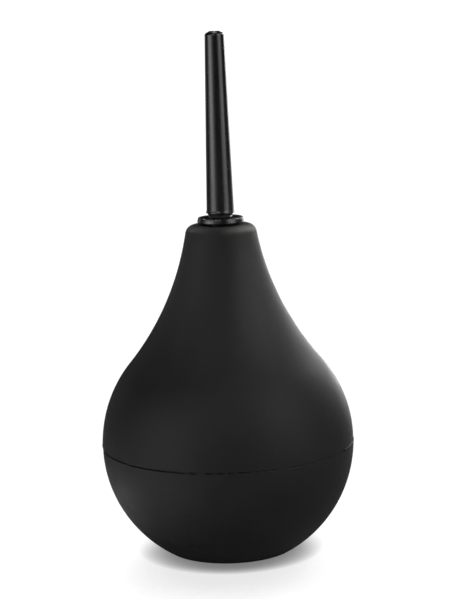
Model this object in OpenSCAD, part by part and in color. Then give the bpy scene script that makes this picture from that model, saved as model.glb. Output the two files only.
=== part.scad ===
// Hand-squeezed air bulb: a two-piece rubber bulb with an intake valve in its base, a plug-in stem
// in its neck, and a tapered nozzle that screws onto the stem. Millimetres. Z runs up the bulb's axis
// from the middle of its flat foot.

/* [Bulb] */
// Radius of the belly, at the seam
belly_r = 40; // [38:0.5:42]
// Height of the seam, where the belly is widest, above the foot
seam_h = 34.5; // [33:0.5:36]
// Height of the bulb's flat top
top_h = 104.2; // [102:0.1:107]
// Radius at the top, before the shoulder is rounded
neck_r = 10.8; // [10.5:0.1:11.5]
// Radius of the hollow curve between the belly and the neck
waist_r = 89; // [85:0.5:95]
// Rounding of the shoulder
shoulder_r = 2.9; // [2:0.1:3.2]
// Thickness of the rubber wall
wall = 2.6; // [2.2:0.1:3]
// How far the moulding line stands out at the seam
seam_proud = 0.3; // [0.1:0.1:0.5]
// Height of the moulding line
seam_line_h = 0.45; // [0.3:0.05:0.6]

/* [Mouth] */
// Radius of the hole that the stem plugs into
mouth_r = 4; // [3.8:0.1:4.2]
// Length of the hole
mouth_len = 16; // [14:0.5:18]
// Height at which the thick neck gives way to the even wall
throat_h = 81; // [79:0.5:83]

/* [Stem] */
// Radius of the stem's flange
flange_r = 7.3; // [6.5:0.1:8]
// Thickness of the flange
flange_t = 1.6; // [1.3:0.1:2]
// Gap between the bulb's top and the flange
flange_gap = 0.65; // [0.3:0.05:1.5]
// Length of the ribbed tail below the bulb's top
tail_len = 17; // [15:0.5:19]
// Radius of the air passage through the stem
stem_bore_r = 1.4; // [1:0.1:1.5]
// Number of ribs on the tail
rib_count = 4; // [2:1:5]

/* [Nozzle] */
// Height of the sealing ring, which shows between the flange and the nozzle
seal_h = 1.35; // [1:0.05:1.5]
// Length of the nozzle
nozzle_len = 56.2; // [50:0.1:60]
// Radius of the nozzle's foot
nozzle_foot_r = 4.25; // [4.1:0.01:4.4]
// Radius of the nozzle where the rounding of its tip starts
nozzle_tip_r = 3; // [2.8:0.05:3.2]
// Rounding of the tip
tip_round = 1; // [0.8:0.1:1.5]
// Radius of the outlet hole
outlet_r = 1.25; // [1:0.05:1.4]
// Length of the outlet hole
outlet_len = 12; // [8:0.5:15]

/* [Screw joint] */
// Rise of the nozzle in one turn
pitch = 1.5; // [1.3:0.1:1.6]
// Turns that the nozzle takes to come off the stem
turns = 3; // [2:0.5:4]
// Radius of the stem's spigot, over the crests of its thread
spigot_r = 3; // [2.8:0.05:3.1]
// Gap all round between the spigot and the nozzle's socket
spigot_gap = 0.06; // [0.03:0.01:0.09]

/* [Intake valve] */
// Radius of the hole in the bulb's base
base_hole_r = 6; // [5.5:0.1:6.5]
// Thickness of the base
base_t = 4; // [3.5:0.1:4.5]
// Depth of the hollow under the base
recess_d = 1.5; // [1.3:0.1:1.8]
// Number of air holes in the valve seat
air_holes = 6; // [4:1:7]
// Lift of the flap
flap_travel = 1; // [0.8:0.1:1.2]

/* [Hidden] */
$fn = 96;
eps = 0.01;

rubber_black = [0.13, 0.13, 0.135];
plastic_black = [0.06, 0.06, 0.065];
seal_black = [0.09, 0.09, 0.09];
valve_grey = [0.24, 0.24, 0.25];

// Bulb outline: the belly's arc, the waist's hollow arc tangent to it, and the shoulder's arc
// tangent to the waist and to the flat top.
belly_c = [0, seam_h];
foot_r = sqrt(belly_r * belly_r - seam_h * seam_h);
waist_c = circles_meet([neck_r, top_h], waist_r, belly_c, belly_r + waist_r);
shoulder_z = top_h - shoulder_r;
shoulder_c = [waist_c[0] - sqrt(pow(waist_r + shoulder_r, 2) - pow(waist_c[1] - shoulder_z, 2)), shoulder_z];
foot_a = -acos(foot_r / belly_r);
waist_a = direction(belly_c, waist_c);
shoulder_a = direction(shoulder_c, waist_c);
inner_r = belly_r - wall;
inner_waist_r = waist_r + wall;
throat_a = 180 + asin((waist_c[1] - throat_h) / inner_waist_r);
floor_r = sqrt(inner_r * inner_r - pow(seam_h - base_t, 2));
mouth_bottom = top_h - mouth_len;
mouth_chamfer = 0.4;

// Stem
flange_z = top_h + flange_gap;
flange_top = flange_z + flange_t;
flange_round = 0.3;
tail_bottom = top_h - tail_len;
plug_clear = 0.05;
plug_r = mouth_r - plug_clear;
plug_plain = 4;
rib_depth = 0.45;
rib_edge = 0.3;
rib_step = 0.6;
tail_lead_h = 1;
tail_lead_r = plug_r - rib_depth - 0.4;
rib_pitch = (tail_len - plug_plain - tail_lead_h) / rib_count;

// Spigot: a narrower neck inside the sealing ring, then the length that the thread covers, then a
// plain end
spigot_neck_r = spigot_r - 0.4;
spigot_neck_h = 0.5;
spigot_lead = 0.5;
spigot_end_h = 0.5;
seal_clear = 0.02;
foot_z = flange_top + seal_h;
thread_z = foot_z + spigot_neck_h;
spigot_top = thread_z + turns * pitch + spigot_end_h + spigot_lead;

// Nozzle
tip_z = foot_z + nozzle_len;
foot_bead = 0.2;
foot_bead_edge = 0.12;
foot_bead_flat = 0.1;
foot_flare_h = 0.8;
socket_space = 0.8;
socket_top = spigot_top + socket_space;
socket_lead = 0.5;
main_bore_r = 1.9;
outlet_cone_h = 1;
dome_h = 0.35;

// Sealing ring
seal_in_r = spigot_r + 0.1;
seal_out_r = nozzle_foot_r - 0.3;
seal_round = 0.25;

// Intake valve
recess_r = 10.5;
head_r = 9.4;
head_z = 0.4;
head_round = 0.35;
barb_r = base_hole_r + 0.8;
barb_h = 0.8;
barb_edge = 0.3;
boss_r = base_hole_r - 0.9;
boss_z = base_t + 1.4;
seat_top = boss_z + 1;
air_hole_r = 0.85;
air_circle_r = 3;
flap_r = boss_r - 0.4;
flap_t = 0.6;
flap_clear = 0.02;
flap_headroom = 0.18;
cage_r = base_hole_r - 0.1;
cage_roof_z = seat_top + flap_clear + flap_t + flap_travel + flap_headroom;
cage_roof_t = 0.8;
spokes = 3;
window_w = 2.6;
window_sill = 0.3;
spoke_w = 1.3;
hub_r = 1.6;

// Points along an arc round c, from angle a0 to a1, in n steps
function arc(c, r, a0, a1, n) =
    [for (i = [0:n]) let (a = a0 + (a1 - a0) * i / n) c + r * [cos(a), sin(a)]];

// Angle at which q is seen from p
function direction(p, q) = atan2(q[1] - p[1], q[0] - p[0]);

// The point at distance pr from p and qr from q that lies left of the way from p to q
function circles_meet(p, pr, q, qr) =
    let (
        d = norm(q - p),
        u = (q - p) / d,
        a = (pr * pr - qr * qr + d * d) / (2 * d),
        h = sqrt(pr * pr - a * a)
    )
    p + a * u + h * [-u[1], u[0]];

// A rounded box outline between two corners
function rounded_box(low, high, r) = concat(
    arc([low[0] + r, low[1] + r], r, 180, 270, 4),
    arc([high[0] - r, low[1] + r], r, 270, 360, 4),
    arc([high[0] - r, high[1] - r], r, 0, 90, 4),
    arc([low[0] + r, high[1] - r], r, 90, 180, 4)
);

// Lower shell: the flat foot with its hollow and valve hole, up to the seam, with the moulding line
module bulb_lower() {
    line_edge = seam_proud / 3;
    line_r = belly_r + seam_proud;
    color(rubber_black)
    rotate_extrude()
    polygon(concat(
        [[base_hole_r, recess_d], [recess_r, recess_d], [recess_r, 0]],
        arc(belly_c, belly_r, foot_a, -direction([0, 0], [belly_r, seam_line_h]), 20),
        [
            [line_r, seam_h - seam_line_h + line_edge],
            [line_r, seam_h - line_edge],
            [line_r - line_edge, seam_h]
        ],
        arc(belly_c, inner_r, 0, -acos(floor_r / inner_r), 18),
        [[base_hole_r, base_t]]
    ));
}

// Upper shell: belly, waist, shoulder and the thick neck round the mouth
module bulb_upper() {
    color(rubber_black)
    rotate_extrude()
    polygon(concat(
        arc(belly_c, belly_r, 0, waist_a, 14),
        arc(waist_c, waist_r, 180 + waist_a, 180 + shoulder_a, 14),
        arc(shoulder_c, shoulder_r, shoulder_a, 90, 8),
        [[mouth_r + mouth_chamfer, top_h], [mouth_r, top_h - mouth_chamfer], [mouth_r, mouth_bottom]],
        arc(waist_c, inner_waist_r, throat_a, 180 + waist_a, 10),
        arc(belly_c, inner_r, waist_a, 0, 14)
    ));
}

// Stem: ribbed tail that grips the mouth, flange, and the spigot that the nozzle screws onto
module nozzle_stem() {
    color(plastic_black)
    difference() {
        rotate_extrude()
        polygon(concat(
            [[0, tail_bottom], [tail_lead_r, tail_bottom]],
            [
                for (i = [0:rib_count - 1])
                    let (z = tail_bottom + tail_lead_h + i * rib_pitch)
                    each [
                        [plug_r - rib_depth, z],
                        [plug_r, z + rib_pitch - rib_step - rib_edge],
                        [plug_r, z + rib_pitch - rib_step]
                    ]
            ],
            [
                [plug_r - rib_depth, top_h - plug_plain],
                [plug_r, top_h - plug_plain + rib_depth],
                [plug_r, flange_z]
            ],
            arc([flange_r - flange_round, flange_z + flange_round], flange_round, 270, 360, 5),
            arc([flange_r - flange_round, flange_top - flange_round], flange_round, 0, 90, 5),
            [
                [spigot_neck_r, flange_top],
                [spigot_neck_r, thread_z - (spigot_r - spigot_neck_r)],
                [spigot_r, thread_z],
                [spigot_r, spigot_top - spigot_lead],
                [spigot_r - spigot_lead, spigot_top],
                [0, spigot_top]
            ]
        ));
        translate([0, 0, tail_bottom - eps])
        cylinder(r = stem_bore_r, h = spigot_top - tail_bottom + 2 * eps);
    }
}

// Sealing ring: held in place round the spigot, and pressed on the flange by the nozzle's foot
module nozzle_seal() {
    color(seal_black)
    rotate_extrude()
    polygon(rounded_box(
        [seal_in_r, flange_top + seal_clear],
        [seal_out_r, foot_z - seal_clear],
        seal_round
    ));
}

// Nozzle: tapered tube with a rounded tip, a socket at its foot and an outlet at its tip
module nozzle() {
    bead_r = nozzle_foot_r + foot_bead;
    bead_top = foot_z + foot_bead_edge + foot_bead_flat;
    round_z = tip_z - dome_h - tip_round;
    outlet_z = tip_z - outlet_len;
    socket_r = spigot_r + spigot_gap;
    color(plastic_black)
    difference() {
        rotate_extrude()
        polygon(concat(
            [
                [0, foot_z],
                [bead_r - foot_bead_edge, foot_z],
                [bead_r, foot_z + foot_bead_edge],
                [bead_r, bead_top],
                [nozzle_foot_r, bead_top + foot_flare_h]
            ],
            arc([nozzle_tip_r - tip_round, round_z], tip_round, 0, 90, 6),
            [[outlet_r, tip_z], [0, tip_z]]
        ));
        translate([0, 0, foot_z - eps])
        cylinder(r = socket_r, h = socket_top - foot_z + eps);
        translate([0, 0, foot_z - eps])
        cylinder(r1 = socket_r + socket_lead, r2 = socket_r, h = socket_lead);
        translate([0, 0, socket_top - eps])
        cylinder(r = main_bore_r, h = outlet_z - socket_top);
        translate([0, 0, outlet_z - 2 * eps])
        cylinder(r1 = main_bore_r, r2 = outlet_r, h = outlet_cone_h);
        translate([0, 0, outlet_z])
        cylinder(r = outlet_r, h = outlet_len + eps);
    }
}

// Valve seat: pushed through the base from below, with a ring of air holes and a boss on top
module valve_seat() {
    color(valve_grey)
    difference() {
        rotate_extrude()
        polygon(concat(
            [[0, head_z]],
            arc([head_r - head_round, head_z + head_round], head_round, 270, 360, 4),
            [
                [head_r, recess_d],
                [base_hole_r, recess_d],
                [base_hole_r, base_t],
                [barb_r, base_t],
                [barb_r, base_t + barb_edge],
                [base_hole_r, base_t + barb_h],
                [base_hole_r, boss_z],
                [boss_r, boss_z],
                [boss_r, seat_top],
                [0, seat_top]
            ]
        ));
        for (i = [0:air_holes - 1])
            rotate([0, 0, 360 * i / air_holes])
            translate([air_circle_r, 0, head_z - eps])
            cylinder(r = air_hole_r, h = seat_top - head_z + 2 * eps, $fn = 32);
    }
}

// Flap: a thin disc that lies on the seat's air holes and lifts when air is drawn in
module valve_flap() {
    color(seal_black)
    translate([0, 0, seat_top + flap_clear])
    cylinder(r = flap_r, h = flap_t);
}

// Cage: pressed onto the seat's boss, with windows in its wall and a spoked roof over the flap
module valve_cage() {
    roof_top = cage_roof_z + cage_roof_t;
    window_z = seat_top + window_sill;
    color(valve_grey)
    difference() {
        translate([0, 0, boss_z])
        cylinder(r = cage_r, h = roof_top - boss_z);
        translate([0, 0, boss_z - eps])
        cylinder(r = boss_r, h = cage_roof_z - boss_z + eps);
        difference() {
            translate([0, 0, cage_roof_z - eps])
            cylinder(r = boss_r, h = cage_roof_t + 2 * eps);
            translate([0, 0, cage_roof_z - 2 * eps])
            cylinder(r = hub_r, h = cage_roof_t + 4 * eps);
            for (i = [0:spokes - 1])
                rotate([0, 0, 180 * i / spokes])
                translate([-cage_r, -spoke_w / 2, cage_roof_z - 2 * eps])
                cube([2 * cage_r, spoke_w, cage_roof_t + 4 * eps]);
        }
        for (i = [0:spokes - 1])
            rotate([0, 0, 180 * (i + 0.5) / spokes])
            translate([-cage_r - eps, -window_w / 2, window_z])
            cube([2 * (cage_r + eps), window_w, cage_roof_z - window_z]);
    }
}

bulb_lower();
bulb_upper();
nozzle_stem();
nozzle_seal();
nozzle();
valve_seat();
valve_flap();
valve_cage();
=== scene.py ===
"""Looks for a hand-squeezed air bulb: a two-piece matt rubber bulb, a gloss nozzle on a flanged stem,
and an intake valve in the base. Lengths are metres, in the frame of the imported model: Z runs up the
bulb's axis from the foot, and the camera looks along +Y."""

import math

import bmesh
import bpy
from mathutils import Euler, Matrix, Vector, noise


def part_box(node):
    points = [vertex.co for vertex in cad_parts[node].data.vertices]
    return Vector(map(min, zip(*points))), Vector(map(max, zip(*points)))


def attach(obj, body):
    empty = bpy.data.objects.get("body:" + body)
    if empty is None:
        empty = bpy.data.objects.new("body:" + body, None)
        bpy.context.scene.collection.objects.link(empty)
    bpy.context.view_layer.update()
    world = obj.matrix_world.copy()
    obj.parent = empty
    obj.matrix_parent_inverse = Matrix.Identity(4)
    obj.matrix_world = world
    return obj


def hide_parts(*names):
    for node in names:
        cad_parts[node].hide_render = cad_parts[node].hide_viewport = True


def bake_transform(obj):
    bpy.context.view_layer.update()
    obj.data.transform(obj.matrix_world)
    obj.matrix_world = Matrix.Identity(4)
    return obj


MM = 0.001
TURN = 2 * math.pi
SHARP_DEG = 40

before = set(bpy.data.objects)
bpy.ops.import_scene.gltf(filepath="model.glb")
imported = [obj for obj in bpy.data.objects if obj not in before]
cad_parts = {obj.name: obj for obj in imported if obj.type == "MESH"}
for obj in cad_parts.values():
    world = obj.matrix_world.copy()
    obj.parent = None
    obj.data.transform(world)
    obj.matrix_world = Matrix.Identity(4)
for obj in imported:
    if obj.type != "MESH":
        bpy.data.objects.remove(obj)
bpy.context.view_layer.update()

# ---------------------------------------------------------------- sizes, from the frame where it has them
UPPER_LOW, UPPER_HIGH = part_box("bulb_upper")
STEM_LOW, STEM_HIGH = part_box("nozzle_stem")
NOZZLE_LOW, NOZZLE_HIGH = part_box("nozzle")
SEAL_LOW, SEAL_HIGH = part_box("nozzle_seal")

BELLY_R = UPPER_HIGH.x
SEAM_Z = UPPER_LOW.z
TOP_Z = UPPER_HIGH.z
NECK_R = 10.8 * MM
WAIST_R = 89 * MM
SHOULDER_R = 2.9 * MM
WALL = 2.6 * MM
MOUTH_R = 4 * MM
MOUTH_LEN = 16 * MM
THROAT_Z = 81 * MM
BASE_T = 4 * MM
BASE_HOLE_R = 6 * MM
RECESS_R = 10.5 * MM
RECESS_D = 1.5 * MM

FLANGE_R = STEM_HIGH.x
FLANGE_GAP = 0.65 * MM
FLANGE_T = 1.6 * MM
PLUG_R = MOUTH_R - 0.05 * MM
STEM_BORE_R = 1.4 * MM
SPIGOT_R = 3 * MM
PITCH = 1.5 * MM


# ---------------------------------------------------------------- outlines and lathe
def arc(centre, radius, start_deg, end_deg, steps):
    """Points (r, z) along an arc, both ends included."""
    points = []
    for i in range(steps + 1):
        a = math.radians(start_deg + (end_deg - start_deg) * i / steps)
        points.append((centre[0] + radius * math.cos(a), centre[1] + radius * math.sin(a)))
    return points


def line(start, end, steps):
    """Points from start to end, without start."""
    return [
        (
            start[0] + (end[0] - start[0]) * i / steps,
            start[1] + (end[1] - start[1]) * i / steps,
        )
        for i in range(1, steps + 1)
    ]


def angle_to(p, q):
    return math.degrees(math.atan2(q[1] - p[1], q[0] - p[0]))


def waist_centre():
    """Centre of the waist's hollow arc: WAIST_R from the neck's rim, tangent to the belly."""
    p, q = Vector((NECK_R, TOP_Z)), Vector((0, SEAM_Z))
    reach = BELLY_R + WAIST_R
    gap = (q - p).length
    along = (WAIST_R**2 - reach**2 + gap**2) / (2 * gap)
    off = math.sqrt(WAIST_R**2 - along**2)
    u = (q - p) / gap
    return tuple(p + u * along + Vector((-u.y, u.x)) * off)


def link(name, mesh):
    obj = bpy.data.objects.new(name, mesh)
    bpy.context.scene.collection.objects.link(obj)
    return obj


def finish_mesh(obj):
    """Outward normals, smooth shading, and hard edges only where faces meet at a sharp angle."""
    mesh = bmesh.new()
    mesh.from_mesh(obj.data)
    bmesh.ops.recalc_face_normals(mesh, faces=mesh.faces)
    mesh.to_mesh(obj.data)
    mesh.free()
    obj.data.shade_smooth()
    obj.data.set_sharp_from_angle(angle=math.radians(SHARP_DEG))
    return obj


def lathe(name, outline, segments, shift=None):
    """A closed outline of (r, z) points turned round Z. shift(r, z, angle) gives a moved (r, z)."""
    verts, faces = [], []
    rows = len(outline)
    for s in range(segments):
        a = TURN * s / segments
        ca, sa = math.cos(a), math.sin(a)
        for r, z in outline:
            if shift:
                r, z = shift(r, z, a)
            verts.append((r * ca, r * sa, z))
    for s in range(segments):
        t = (s + 1) % segments
        for k in range(rows):
            n = (k + 1) % rows
            faces.append((s * rows + k, t * rows + k, t * rows + n, s * rows + n))
    mesh = bpy.data.meshes.new(name)
    mesh.from_pydata(verts, [], faces)
    return finish_mesh(link(name, mesh))


def smooth(x):
    """0 up to x = 0, 1 from x = 1, and a smooth step between them."""
    x = min(1.0, max(0.0, x))
    return x * x * (3 - 2 * x)


def rise(x, start, width):
    """A smooth step from 0 at start to 1 at start + width."""
    return smooth((x - start) / width)


# ---------------------------------------------------------------- materials
def new_material(name):
    mat = bpy.data.materials.new(name)
    mat.use_nodes = True
    return mat, mat.node_tree.nodes, mat.node_tree.links, mat.node_tree.nodes["Principled BSDF"]


def noise_node(nodes, links, coords, scale, detail, roughness=0.5):
    n = nodes.new("ShaderNodeTexNoise")
    n.inputs["Scale"].default_value = scale
    n.inputs["Detail"].default_value = detail
    n.inputs["Roughness"].default_value = roughness
    links.new(coords, n.inputs["Vector"])
    return n


def ramp_node(nodes, links, value, stops):
    """A ramp of greys: stops are (position, grey)."""
    ramp = nodes.new("ShaderNodeValToRGB")
    while len(ramp.color_ramp.elements) < len(stops):
        ramp.color_ramp.elements.new(0.5)
    for element, (position, grey) in zip(ramp.color_ramp.elements, stops):
        element.position = position
        element.color = (grey, grey, grey, 1)
    links.new(value, ramp.inputs["Fac"])
    return ramp


def bump_node(nodes, links, height, distance, strength, normal=None):
    bump = nodes.new("ShaderNodeBump")
    bump.inputs["Distance"].default_value = distance
    bump.inputs["Strength"].default_value = strength
    links.new(height, bump.inputs["Height"])
    if normal:
        links.new(normal, bump.inputs["Normal"])
    return bump


def rubber_material():
    """Matt black moulded rubber: fine grain, faint cloudiness, a little dust-grey in the colour."""
    mat, nodes, links, shader = new_material("bulb_rubber")
    coords = nodes.new("ShaderNodeTexCoord").outputs["Object"]
    cloud = noise_node(nodes, links, coords, 60, 7, 0.65)
    grain = noise_node(nodes, links, coords, 1900, 3, 0.6)
    pores = noise_node(nodes, links, coords, 700, 2)
    colour = ramp_node(nodes, links, cloud.outputs["Fac"], [(0.3, 0.011), (0.7, 0.0165)])
    rough = ramp_node(nodes, links, cloud.outputs["Fac"], [(0.25, 0.52), (0.75, 0.64)])
    links.new(colour.outputs["Color"], shader.inputs["Base Color"])
    links.new(rough.outputs["Color"], shader.inputs["Roughness"])
    fine = bump_node(nodes, links, grain.outputs["Fac"], 0.03 * MM, 0.8)
    broad = bump_node(nodes, links, pores.outputs["Fac"], 0.06 * MM, 0.5, fine.outputs["Normal"])
    links.new(broad.outputs["Normal"], shader.inputs["Normal"])
    shader.inputs["Specular IOR Level"].default_value = 0.28
    return mat


def gloss_material():
    """Polished black moulded plastic, with the faint drag lines and waviness of the mould."""
    mat, nodes, links, shader = new_material("nozzle_plastic")
    coords = nodes.new("ShaderNodeTexCoord").outputs["Object"]
    stretch = nodes.new("ShaderNodeMapping")
    stretch.inputs["Scale"].default_value = (1, 1, 0.08)
    links.new(coords, stretch.inputs["Vector"])
    drag = noise_node(nodes, links, stretch.outputs["Vector"], 900, 3)
    wave = noise_node(nodes, links, coords, 160, 2)
    rough = ramp_node(nodes, links, drag.outputs["Fac"], [(0.3, 0.25), (0.7, 0.31)])
    links.new(rough.outputs["Color"], shader.inputs["Roughness"])
    fine = bump_node(nodes, links, drag.outputs["Fac"], 0.01 * MM, 0.3)
    broad = bump_node(nodes, links, wave.outputs["Fac"], 0.08 * MM, 0.25, fine.outputs["Normal"])
    links.new(broad.outputs["Normal"], shader.inputs["Normal"])
    shader.inputs["Base Color"].default_value = (0.005, 0.005, 0.0055, 1)
    shader.inputs["Specular IOR Level"].default_value = 0.8
    return mat


def seal_material(name, base, low, high):
    """Satin black rubber for small moulded rings and discs."""
    mat, nodes, links, shader = new_material(name)
    coords = nodes.new("ShaderNodeTexCoord").outputs["Object"]
    grain = noise_node(nodes, links, coords, 2500, 3)
    rough = ramp_node(nodes, links, grain.outputs["Fac"], [(0.3, low), (0.7, high)])
    links.new(rough.outputs["Color"], shader.inputs["Roughness"])
    fine = bump_node(nodes, links, grain.outputs["Fac"], 0.02 * MM, 0.4)
    links.new(fine.outputs["Normal"], shader.inputs["Normal"])
    shader.inputs["Base Color"].default_value = (base, base, base, 1)
    return mat


def valve_material():
    """Satin dark grey moulded plastic with a fine spark-eroded texture."""
    mat, nodes, links, shader = new_material("valve_plastic")
    coords = nodes.new("ShaderNodeTexCoord").outputs["Object"]
    grain = noise_node(nodes, links, coords, 3000, 4, 0.65)
    cloud = noise_node(nodes, links, coords, 180, 3)
    colour = ramp_node(nodes, links, cloud.outputs["Fac"], [(0.3, 0.036), (0.7, 0.046)])
    rough = ramp_node(nodes, links, grain.outputs["Fac"], [(0.3, 0.34), (0.7, 0.48)])
    links.new(colour.outputs["Color"], shader.inputs["Base Color"])
    links.new(rough.outputs["Color"], shader.inputs["Roughness"])
    fine = bump_node(nodes, links, grain.outputs["Fac"], 0.02 * MM, 0.5)
    links.new(fine.outputs["Normal"], shader.inputs["Normal"])
    return mat


RUBBER = rubber_material()
GLOSS = gloss_material()
SEAL = seal_material("seal_rubber", 0.004, 0.6, 0.7)
FLAP = seal_material("flap_rubber", 0.014, 0.42, 0.55)
VALVE = valve_material()


def dress(obj, material, body=None):
    obj.data.materials.clear()
    obj.data.materials.append(material)
    if body:
        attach(obj, body)


# ---------------------------------------------------------------- bulb
SEGMENTS = 960
WAIST_C = waist_centre()
BELLY_C = (0, SEAM_Z)
WAIST_A = angle_to(BELLY_C, WAIST_C)
SHOULDER_Z = TOP_Z - SHOULDER_R
SHOULDER_C = (
    WAIST_C[0] - math.sqrt((WAIST_R + SHOULDER_R) ** 2 - (WAIST_C[1] - SHOULDER_Z) ** 2),
    SHOULDER_Z,
)
SHOULDER_A = angle_to(SHOULDER_C, WAIST_C)

# The mould halves are a little out of line: the upper one overhangs towards MISMATCH_DEG. The parting
# groove gapes on that side and is nearly shut on the far side, and some flash stands out along it.
MISMATCH = 0.12 * MM
MISMATCH_DEG = 208
MISMATCH_FADE = 2 * MM
GROOVE = 0.6 * MM
GROOVE_HALF = 0.2 * MM
LIP = 0.07 * MM
LIP_HALF = 0.15 * MM
LIP_HEIGHT = 0.45 * MM
CRUMB = 0.3 * MM
CRUMB_FADE = 0.15 * MM
SEAM_REACH = 6 * MISMATCH_FADE

# Flash left along the seam: (middle in degrees, half length in degrees, how far it stands out)
FLASH = [(343.5, 8.5, 0.3 * MM), (335.3, 0.8, 0.5 * MM), (169.5, 0.7, 1.0 * MM)]
FLASH_HALF = 0.28 * MM


def ring_noise(a, scale, seed):
    """Noise round the seam, about -1 to 1; scale is how fast it changes with the angle."""
    return noise.noise(Vector((scale * math.cos(a), scale * math.sin(a), seed)))


def mismatch(a):
    """How far the upper shell's edge is moved out at angle a; the lower one's moves in by as much."""
    return MISMATCH * (math.cos(a - math.radians(MISMATCH_DEG)) + 0.25 * ring_noise(a, 3, 7))


def groove_share(a):
    """How open the parting groove is, 0 to 1: a long gape with a few bridges, then short dashes."""
    side = math.cos(a - math.radians(MISMATCH_DEG))
    bridge = rise(ring_noise(a, 16, 3), 0.3, 0.08)
    gape = rise(side, 0.68, 0.2) * (1 - 0.85 * bridge)
    near = rise(side, 0.15, 0.15)
    dash = rise(ring_noise(a, 24, 11) + 0.22 * near, 0.12, 0.12)
    return max(gape, (0.45 + 0.3 * near) * dash, 0.07)


def flash(a):
    """How far the flash stands out at angle a."""
    out = 0.0
    for middle, half, height in FLASH:
        away = abs((math.degrees(a) - middle + 180) % 360 - 180)
        out = max(out, height * smooth((half - away) / (0.4 * half)))
    return out


def crumbs(a, seed):
    """Small torn bits of rubber along the seam."""
    return max(0.0, ring_noise(a, 140, seed) - 0.15)


def seam_shift(sign):
    """The shift of an outer point near the seam: sign is 1 on the upper shell and -1 on the lower."""

    def shift(r, z, a):
        height = abs(z - SEAM_Z)
        if r < BELLY_R - WALL / 2 or height > SEAM_REACH:
            return r, z
        r += sign * mismatch(a) * math.exp(-height / MISMATCH_FADE)
        share = groove_share(a)
        r -= GROOVE * share * math.exp(-((height / GROOVE_HALF) ** 2))
        r += LIP * share * math.exp(-(((height - LIP_HEIGHT) / LIP_HALF) ** 2))
        r += CRUMB * crumbs(a, sign * 5) * math.exp(-height / CRUMB_FADE)
        r += flash(a) * math.exp(-((height / FLASH_HALF) ** 2))
        return r, z

    return shift


# Close rows of points next to the seam, as heights from it in mm, and the height where they give way to
# the belly's even steps
SEAM_STEPS = (0, 0.05, 0.1, 0.15, 0.2, 0.27, 0.36, 0.45, 0.55, 0.7, 1.0, 1.6, 2.4)
SEAM_BAND = 3.6 * MM
SEAM_BAND_DEG = math.degrees(math.asin(SEAM_BAND / BELLY_R))


def seam_rows(sign):
    return [SEAM_Z + sign * h * MM for h in SEAM_STEPS]


def belly_radius(z):
    return math.sqrt(BELLY_R**2 - (z - SEAM_Z) ** 2)


def make_bulb_upper():
    inner_r, inner_waist = BELLY_R - WALL, WAIST_R + WALL
    throat = 180 + math.degrees(math.asin((WAIST_C[1] - THROAT_Z) / inner_waist))
    lip = 0.7 * MM
    outline = [(belly_radius(z), z) for z in seam_rows(1)]
    outline += arc(BELLY_C, BELLY_R, SEAM_BAND_DEG, WAIST_A, 16)
    outline += arc(WAIST_C, WAIST_R, 180 + WAIST_A, 180 + SHOULDER_A, 30)[1:]
    outline += arc(SHOULDER_C, SHOULDER_R, SHOULDER_A, 90, 12)[1:]
    outline += line(outline[-1], (MOUTH_R + lip, TOP_Z), 2)
    outline += arc((MOUTH_R + lip, TOP_Z - lip), lip, 90, 180, 6)[1:]
    outline += line(outline[-1], (MOUTH_R, TOP_Z - MOUTH_LEN), 4)
    outline += arc(WAIST_C, inner_waist, throat, 180 + WAIST_A, 8)
    outline += arc(BELLY_C, inner_r, WAIST_A, 0, 8)[1:]
    obj = lathe("bulb_upper_shell", outline, SEGMENTS, seam_shift(1))
    dress(obj, RUBBER)
    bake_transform(obj)
    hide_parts("bulb_upper")


def make_bulb_lower():
    inner_r = BELLY_R - WALL
    foot_r = math.sqrt(BELLY_R**2 - SEAM_Z**2)
    # A chamfer takes off the corner between the flat foot and the belly
    inside, outside = 1.2 * MM, 0.6 * MM
    foot_a = -math.degrees(math.acos((foot_r + outside) / BELLY_R))
    floor_r = math.sqrt(inner_r**2 - (SEAM_Z - BASE_T) ** 2)
    lip = 0.4 * MM
    outline = [(BASE_HOLE_R, RECESS_D)]
    outline += line(outline[-1], (RECESS_R, RECESS_D), 2)
    outline += arc((RECESS_R + lip, lip), lip, 180, 270, 5)
    outline += line(outline[-1], (foot_r - inside, 0), 4)
    outline += arc(BELLY_C, BELLY_R, foot_a, -SEAM_BAND_DEG, 22)
    outline += [(belly_radius(z), z) for z in reversed(seam_rows(-1))]
    outline += arc(BELLY_C, inner_r, 0, -math.degrees(math.acos(floor_r / inner_r)), 8)
    outline += line(outline[-1], (BASE_HOLE_R, BASE_T), 2)
    obj = lathe("bulb_lower_shell", outline, SEGMENTS, seam_shift(-1))
    dress(obj, RUBBER, "base")
    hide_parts("bulb_lower")


# ---------------------------------------------------------------- stem, seal and nozzle
FLANGE_Z = TOP_Z + FLANGE_GAP
FLANGE_TOP = FLANGE_Z + FLANGE_T
THREAD_Z = NOZZLE_LOW.z + 0.5 * MM
THREAD_DEPTH = 0.42 * MM


def ridge(z, a, low, high):
    """Height of a right-hand thread's ridge, 0 to 1, at a point of its cylinder; it runs out at both ends."""
    phase = ((z - low) / PITCH - a / TURN) % 1
    share = smooth((0.5 - abs(phase - 0.5)) / 0.32 - 0.35)
    ends = smooth((z - low) / (0.6 * MM)) * smooth((high - z) / (0.6 * MM))
    return share * ends


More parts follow.
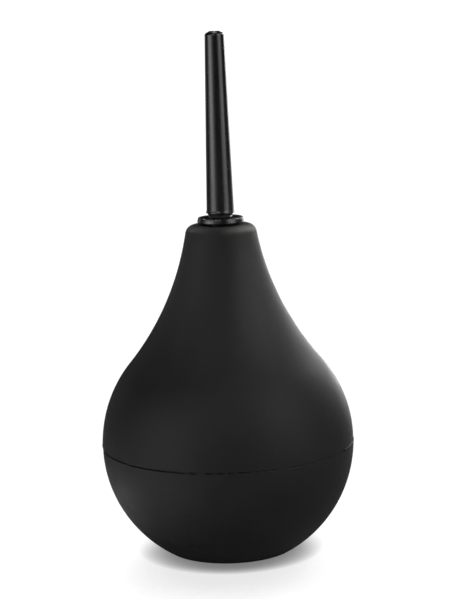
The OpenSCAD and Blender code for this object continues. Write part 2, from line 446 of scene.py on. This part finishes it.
def make_stem():
    bottom, top = STEM_LOW.z, STEM_HIGH.z
    rib_depth, rib_count, plain, chamfer = 0.45 * MM, 4, 4 * MM, 1 * MM
    rib_pitch = (TOP_Z - bottom - plain - chamfer) / rib_count
    # A rib's points, as (depth below its crest, height under the next rib)
    rib = [(rib_depth, rib_pitch), (0.08 * MM, 1.05 * MM)]
    rib += [(0, 0.9 * MM), (0, 0.7 * MM), (0.08 * MM, 0.6 * MM)]
    fillet, edge, lead, slant_deg = 0.25 * MM, 0.3 * MM, 0.45 * MM, 12
    draft = (FLANGE_T - 2 * edge) * math.tan(math.radians(slant_deg))
    root_r = SPIGOT_R - THREAD_DEPTH
    thread_top = top - lead
    outline = [(STEM_BORE_R, bottom), (PLUG_R - rib_depth - 0.4 * MM, bottom)]
    for i in range(rib_count):
        rib_top = bottom + chamfer + (i + 1) * rib_pitch
        outline += [(PLUG_R - depth, rib_top - under) for depth, under in rib]
    outline += [(PLUG_R - rib_depth, TOP_Z - plain), (PLUG_R, TOP_Z - plain + rib_depth)]
    outline += line(outline[-1], (PLUG_R, FLANGE_Z - fillet), 3)
    outline += arc((PLUG_R + fillet, FLANGE_Z - fillet), fillet, 180, 90, 4)[1:]
    outline += arc((FLANGE_R - edge, FLANGE_Z + edge), edge, 270, 360 + slant_deg, 7)
    outline += arc((FLANGE_R - edge - draft, FLANGE_TOP - edge), edge, slant_deg, 90, 7)
    outline += [(root_r + 0.2 * MM, FLANGE_TOP), (root_r, FLANGE_TOP + 0.2 * MM)]
    outline += line(outline[-1], (root_r, thread_top), 56)
    outline += [(root_r - lead + 0.2 * MM, top), (STEM_BORE_R, top)]

    def shift(r, z, a):
        if FLANGE_TOP < z < top and r > 2 * MM:
            r += THREAD_DEPTH * ridge(z, a, THREAD_Z, thread_top)
        return r, z

    obj = lathe("stem", outline, 128, shift)
    dress(obj, GLOSS, "stem")
    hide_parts("nozzle_stem")


def make_seal():
    low, high = SEAL_LOW.z, SEAL_HIGH.z
    inner, outer = SPIGOT_R + 0.1 * MM, SEAL_HIGH.x
    bead, waist = 0.26 * MM, 0.22 * MM
    middle = (low + high) / 2
    outline = arc((outer - bead, low + bead), bead, 270, 380, 6)
    outline += [(outer - waist, middle - 0.12 * MM), (outer - waist, middle + 0.12 * MM)]
    outline += arc((outer - bead, high - bead), bead, 340, 450, 6)
    outline += arc((inner + bead, high - bead), bead, 90, 180, 6)
    outline += arc((inner + bead, low + bead), bead, 180, 270, 6)
    obj = lathe("seal_ring", outline, 96)
    dress(obj, SEAL, "seal")
    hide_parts("nozzle_seal")


# Steps up the flare above the bead on the nozzle's foot, as shares of its height
FLARE = (0.15, 0.3, 0.45, 0.6, 0.75, 0.9, 1)


def make_nozzle():
    low, high = NOZZLE_LOW.z, NOZZLE_HIGH.z
    foot_r, tip_r, tip_round = 4.25 * MM, 3 * MM, 1 * MM
    dome, outlet_r, outlet_len, main_r = 0.35 * MM, 1.25 * MM, 12 * MM, 1.9 * MM
    socket_r, socket_top = SPIGOT_R + 0.06 * MM, STEM_HIGH.z + 0.8 * MM
    groove = 0.3 * MM
    bead, bead_round, bead_h, lip = 0.2 * MM, 0.2 * MM, 0.85 * MM, 0.3 * MM
    round_z = high - dome - tip_round
    outline = [(socket_r + 0.5 * MM, low)]
    outline += arc((foot_r + bead - bead_round, low + bead_round), bead_round, 270, 370, 6)
    outline += [(foot_r + bead * (1 - smooth(t)) * 0.98, low + bead_round + t * bead_h) for t in FLARE]
    outline += line(outline[-1], (tip_r, round_z), 24)
    outline += arc((tip_r - tip_round, round_z), tip_round, 0, 84, 12)[1:]
    outline += arc((outlet_r + lip, high - lip), lip, 90, 180, 5)
    outline += line(outline[-1], (outlet_r, high - outlet_len + 1 * MM), 4)
    outline += [(main_r, high - outlet_len), (main_r, socket_top), (socket_r, socket_top - 0.4 * MM)]
    outline += line(outline[-1], (socket_r, low + 0.5 * MM), 40)

    def shift(r, z, a):
        if abs(r - socket_r) < 0.01 * MM:
            r += groove * ridge(z, a, low + 0.5 * MM, socket_top - 0.4 * MM)
        return r, z

    obj = lathe("nozzle_tube", outline, 128, shift)
    dress(obj, GLOSS, "nozzle")
    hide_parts("nozzle")


# ---------------------------------------------------------------- intake valve
def dress_valve():
    for name in ("valve_seat", "valve_cage"):
        dress(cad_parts[name], VALVE)
    dress(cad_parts["valve_flap"], FLAP)


# ---------------------------------------------------------------- stage, lights and camera
FLOOR_GREY = 0.4
FLOOR_WHITE = 1.06
FLOOR_SHADED = 0.8
CONTACT_REACH = 6 * MM
CONTACT_TILT_DEG = 60
SHADE_REACH = 300 * MM
SHADE_TILT_DEG = 80
SHADE_TURN_DEG = 6
# How open the floor is in the middle of the shade and at its edge
SHADE_OPEN, EDGE_OPEN = 0.55, 0.72
FLOOR_SIZE = 6
BACKDROP_WHITE = 1.1


def open_share(nodes, links, reach, tilt_deg, turn_deg):
    """How open the floor is towards one side, straight up or tilted towards the back, from ambient occlusion;
    it paints the floor's shadow.
    """
    tilt, turn = math.radians(tilt_deg), math.radians(turn_deg)
    way = nodes.new("ShaderNodeCombineXYZ")
    way.inputs["X"].default_value = math.sin(tilt) * math.sin(turn)
    way.inputs["Y"].default_value = math.sin(tilt) * math.cos(turn)
    way.inputs["Z"].default_value = math.cos(tilt)
    share = nodes.new("ShaderNodeAmbientOcclusion")
    share.inputs["Distance"].default_value = reach
    links.new(way.outputs["Vector"], share.inputs["Normal"])
    return share.outputs["AO"]


def make_floor():
    """A matt sweep. The camera sees it as a white glow with painted shadow, a dark line round the foot and a
    faint shade in front, worked out from ambient occlusion rather than cast by the lamps. The bulb sees light
    grey card."""
    bpy.ops.mesh.primitive_plane_add(size=FLOOR_SIZE)
    floor = bpy.context.object
    floor.name = "floor"
    mat = bpy.data.materials.new("floor")
    mat.use_nodes = True
    nodes, links = mat.node_tree.nodes, mat.node_tree.links
    nodes.clear()
    card = nodes.new("ShaderNodeBsdfDiffuse")
    card.inputs["Color"].default_value = (FLOOR_GREY, FLOOR_GREY, FLOOR_GREY, 1)
    shade = nodes.new("ShaderNodeMapRange")
    shade.interpolation_type = "SMOOTHSTEP"
    shade.inputs["From Min"].default_value = SHADE_OPEN
    shade.inputs["From Max"].default_value = EDGE_OPEN
    shade.inputs["To Min"].default_value = FLOOR_SHADED
    shade.inputs["To Max"].default_value = FLOOR_WHITE
    # Painted shade: the glow is dimmed in front of the bulb, where the floor is closed off towards the back
    back = open_share(nodes, links, SHADE_REACH, SHADE_TILT_DEG, SHADE_TURN_DEG)
    links.new(back, shade.inputs["Value"])
    strength = nodes.new("ShaderNodeMath")
    strength.operation = "MULTIPLY"
    # Painted contact shadow: the glow is also dimmed where the bulb closes the floor off close by
    links.new(open_share(nodes, links, CONTACT_REACH, CONTACT_TILT_DEG, 0), strength.inputs[0])
    links.new(shade.outputs["Result"], strength.inputs[1])
    # The floor's white glow for the camera, which carries the painted shadow
    painted_shadow_glow = nodes.new("ShaderNodeEmission")
    links.new(strength.outputs["Value"], painted_shadow_glow.inputs["Strength"])
    path = nodes.new("ShaderNodeLightPath")
    either = nodes.new("ShaderNodeMixShader")
    links.new(path.outputs["Is Camera Ray"], either.inputs["Fac"])
    links.new(card.outputs["BSDF"], either.inputs[1])
    links.new(painted_shadow_glow.outputs["Emission"], either.inputs[2])
    output = nodes.new("ShaderNodeOutputMaterial")
    links.new(either.outputs["Shader"], output.inputs["Surface"])
    floor.data.materials.append(mat)


def make_world():
    """White where the camera looks past the floor, and black for everything else."""
    world = bpy.data.worlds.new("studio")
    bpy.context.scene.world = world
    world.use_nodes = True
    nodes, links = world.node_tree.nodes, world.node_tree.links
    background = nodes["Background"]
    background.inputs["Color"].default_value = (1, 1, 1, 1)
    path = nodes.new("ShaderNodeLightPath")
    strength = nodes.new("ShaderNodeMath")
    strength.operation = "MULTIPLY"
    strength.inputs[1].default_value = BACKDROP_WHITE
    links.new(path.outputs["Is Camera Ray"], strength.inputs[0])
    links.new(strength.outputs["Value"], background.inputs["Strength"])


def panel(name, azimuth, elevation, size, watts, distance=1.0, aim=(0, 0, 70), beam_deg=180):
    """A panel aimed at a point given in mm. Azimuth 0 is at the camera, and grows to its right."""
    data = bpy.data.lights.new(name, "AREA")
    data.shape = "RECTANGLE"
    data.size, data.size_y = size
    data.energy = watts
    data.spread = math.radians(beam_deg)
    light = bpy.data.objects.new(name, data)
    target = Vector(aim) * MM
    a, e = math.radians(azimuth), math.radians(elevation)
    way = Vector((math.sin(a) * math.cos(e), -math.cos(a) * math.cos(e), math.sin(e)))
    light.location = target + way * distance
    light.rotation_euler = way.to_track_quat("Z", "Y").to_euler()
    light.visible_camera = False
    bpy.context.scene.collection.objects.link(light)


# Side panels, one metre from the bulb: (name, azimuth, elevation, watts)
SIDE_SIZE = (0.32, 0.4)
SIDE_PANELS = [
    ("left_low_1", -84, 8, 0.24),
    ("left_low_2", -66, 8, 1.25),
    ("left_low_3", -48, 8, 1.05),
    ("left_low_4", -30, 8, 0.18),
    ("left_high_1", -30, 35, 0.5),
    ("left_high_2", -12, 35, 0.75),
    ("right_low_1", 48, 8, 0.6),
    ("right_low_2", 66, 8, 0.85),
    ("right_high_1", 48, 35, 1.4),
    ("right_high_2", 66, 35, 1.15),
]

# Rear panels, one metre from the bulb: (name, azimuth, elevation, watts)
REAR_SIZE = (0.35, 0.25)
REAR_PANELS = [
    ("right_side_top", 120, 40, 0.85),
    ("right_side_rear", 120, 20, 0.3),
    ("right_rear_1", 140, 22, 0.8),
    ("right_rear_2", 150, 20, 1.5),
    ("right_rear_low", 150, 6, 0.95),
    ("left_rear", -158, 22, 0.25),
    ("left_rear_low", -135, 6, 0.15),
]

LOW_REAR_SIZE = (0.12, 0.04)

# Small panels with a narrow beam: (name, azimuth, elevation, watts, distance, aim in mm, beam in degrees)
BEAM_SIZE = (0.04, 0.04)
BEAMS = [
    ("left_floor", 0, 90, 0.03, 0.12, (-80, 0, 0), 40),
    ("left_front_floor", 0, 90, 0.03, 0.12, (-60, -70, 0), 40),
    ("tip", 180, 70, 0.0012, 0.1, (0, 0, 164), 20),
    ("left_shoulder", -120, 40, 0.0015, 0.25, (-10, 0, 104), 10),
    ("right_shoulder", 115, 40, 0.0045, 0.25, (10, 0, 104), 10),
]


def make_lights():
    """Side panels give the nozzle its stripes, the rear ones give the edges their sheen, and the narrow
    beams light the card on the left, the shoulder and the nozzle's tip."""
    for name, azimuth, elevation, watts in SIDE_PANELS:
        panel(name, azimuth, elevation, SIDE_SIZE, watts)
    for name, azimuth, elevation, watts in REAR_PANELS:
        panel(name, azimuth, elevation, REAR_SIZE, watts)
    panel("low_rear", 160, 2, LOW_REAR_SIZE, 0.23, distance=0.3, aim=(0, 0, 25))
    for name, azimuth, elevation, watts, distance, target, beam in BEAMS:
        panel(name, azimuth, elevation, BEAM_SIZE, watts, distance, target, beam)


CAMERA_AIM = Vector((1.8, 0, 80.16)) * MM
CAMERA_DISTANCE = 552.2 * MM
CAMERA_PITCH_DEG = 9.78
CAMERA_ROLL_DEG = 1.9
CAMERA_LENS = 105.25
CAMERA_SENSOR = 36
CAMERA_CLIP = (0.01, 20)


def make_camera():
    """Looks along +Y and a little down, turned so that the bulb leans slightly to the left."""
    data = bpy.data.cameras.new("camera")
    data.lens = CAMERA_LENS
    data.sensor_width = CAMERA_SENSOR
    camera = bpy.data.objects.new("camera", data)
    bpy.context.scene.collection.objects.link(camera)
    bpy.context.scene.camera = camera
    pitch, roll = math.radians(CAMERA_PITCH_DEG), math.radians(CAMERA_ROLL_DEG)
    turn = Euler((0, roll, 0)).to_matrix() @ Euler((math.pi / 2 - pitch, 0, 0)).to_matrix()
    camera.rotation_euler = turn.to_euler()
    camera.location = CAMERA_AIM + turn @ Vector((0, 0, CAMERA_DISTANCE))
    data.clip_start, data.clip_end = CAMERA_CLIP


make_camera()
make_bulb_lower()
make_bulb_upper()
make_stem()
make_seal()
make_nozzle()
dress_valve()
make_floor()
make_world()
make_lights()
bpy.context.scene.view_settings.view_transform = "Standard"
